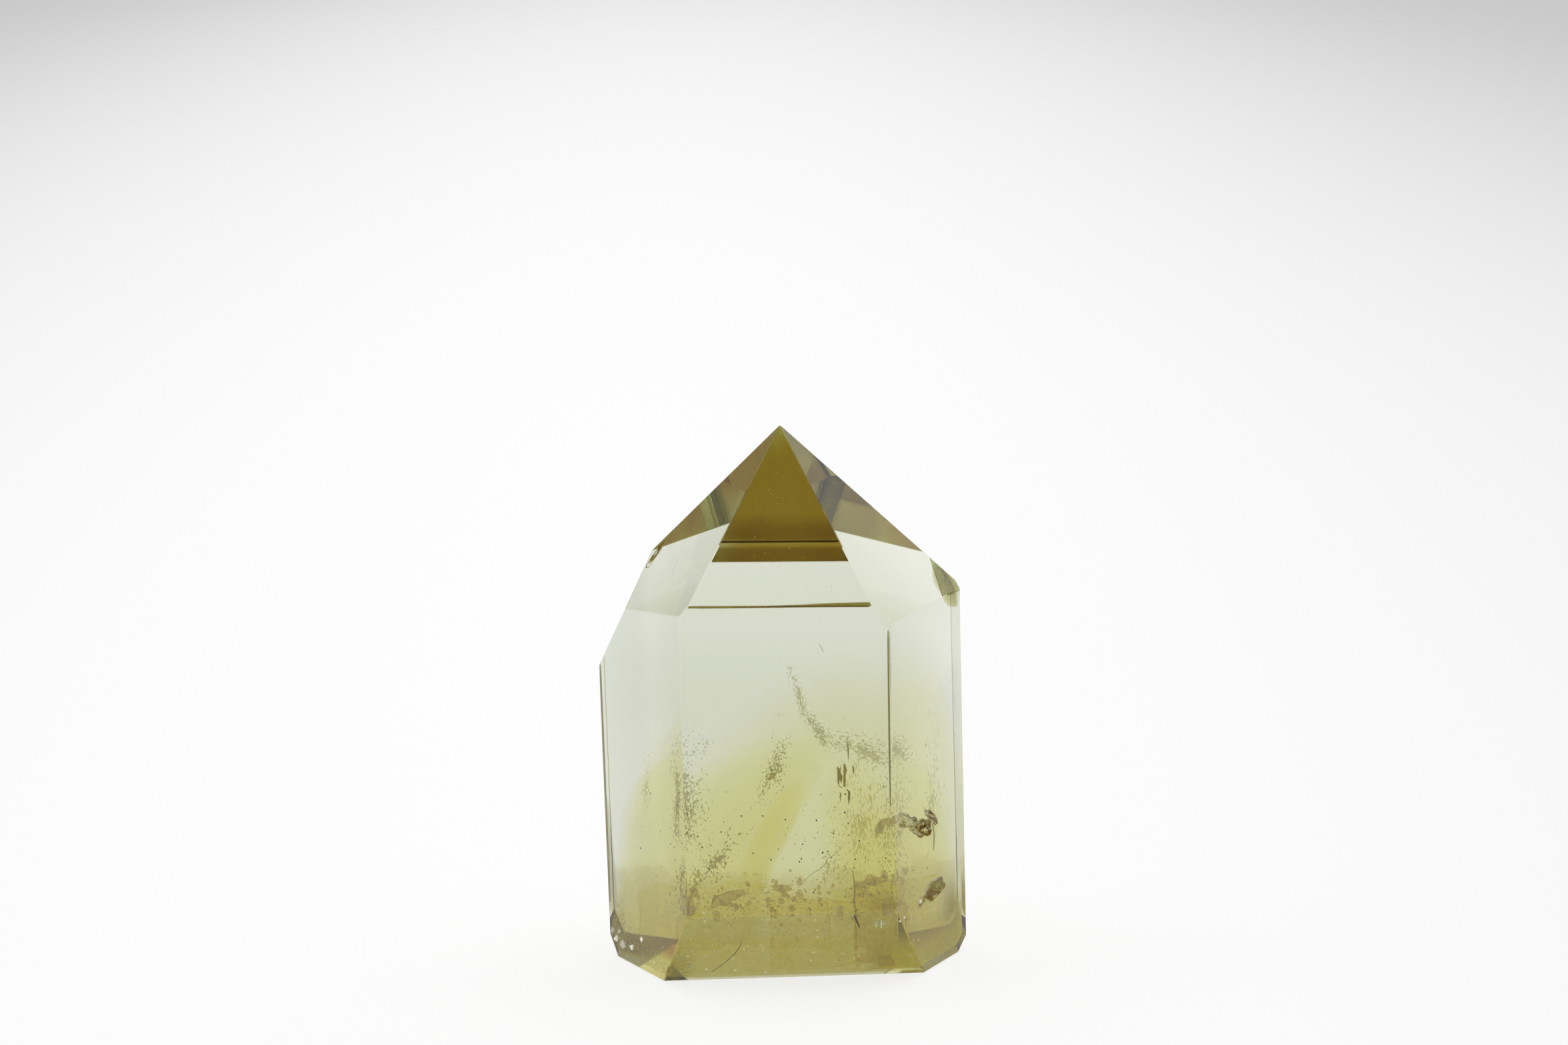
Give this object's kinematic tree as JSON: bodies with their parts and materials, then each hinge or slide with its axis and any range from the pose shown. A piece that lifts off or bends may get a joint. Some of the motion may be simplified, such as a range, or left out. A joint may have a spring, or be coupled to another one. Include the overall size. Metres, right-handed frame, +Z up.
{
  "type": "citrine tower",
  "caption": "Free-standing clear citrine quartz point: a six-sided prism with a six-faced termination, polished foot bevels and a flat underside.",
  "frame": {"origin": "middle of the outline's box, on the flat underside", "axes": "+Z up along the prism, towards the point; -Y out of the broad front face; +X to the right as one looks at that face"},
  "size_m": [0.0344, 0.023, 0.0519],
  "materials": {
    "citrine": "clear pale yellow quartz, polished faces with softened edges, smoky olive tint low down, veils and brown-stained pits inside"
  },
  "bodies": {
    "root": {"crystal": "citrine"}
  },
  "joints": []
}
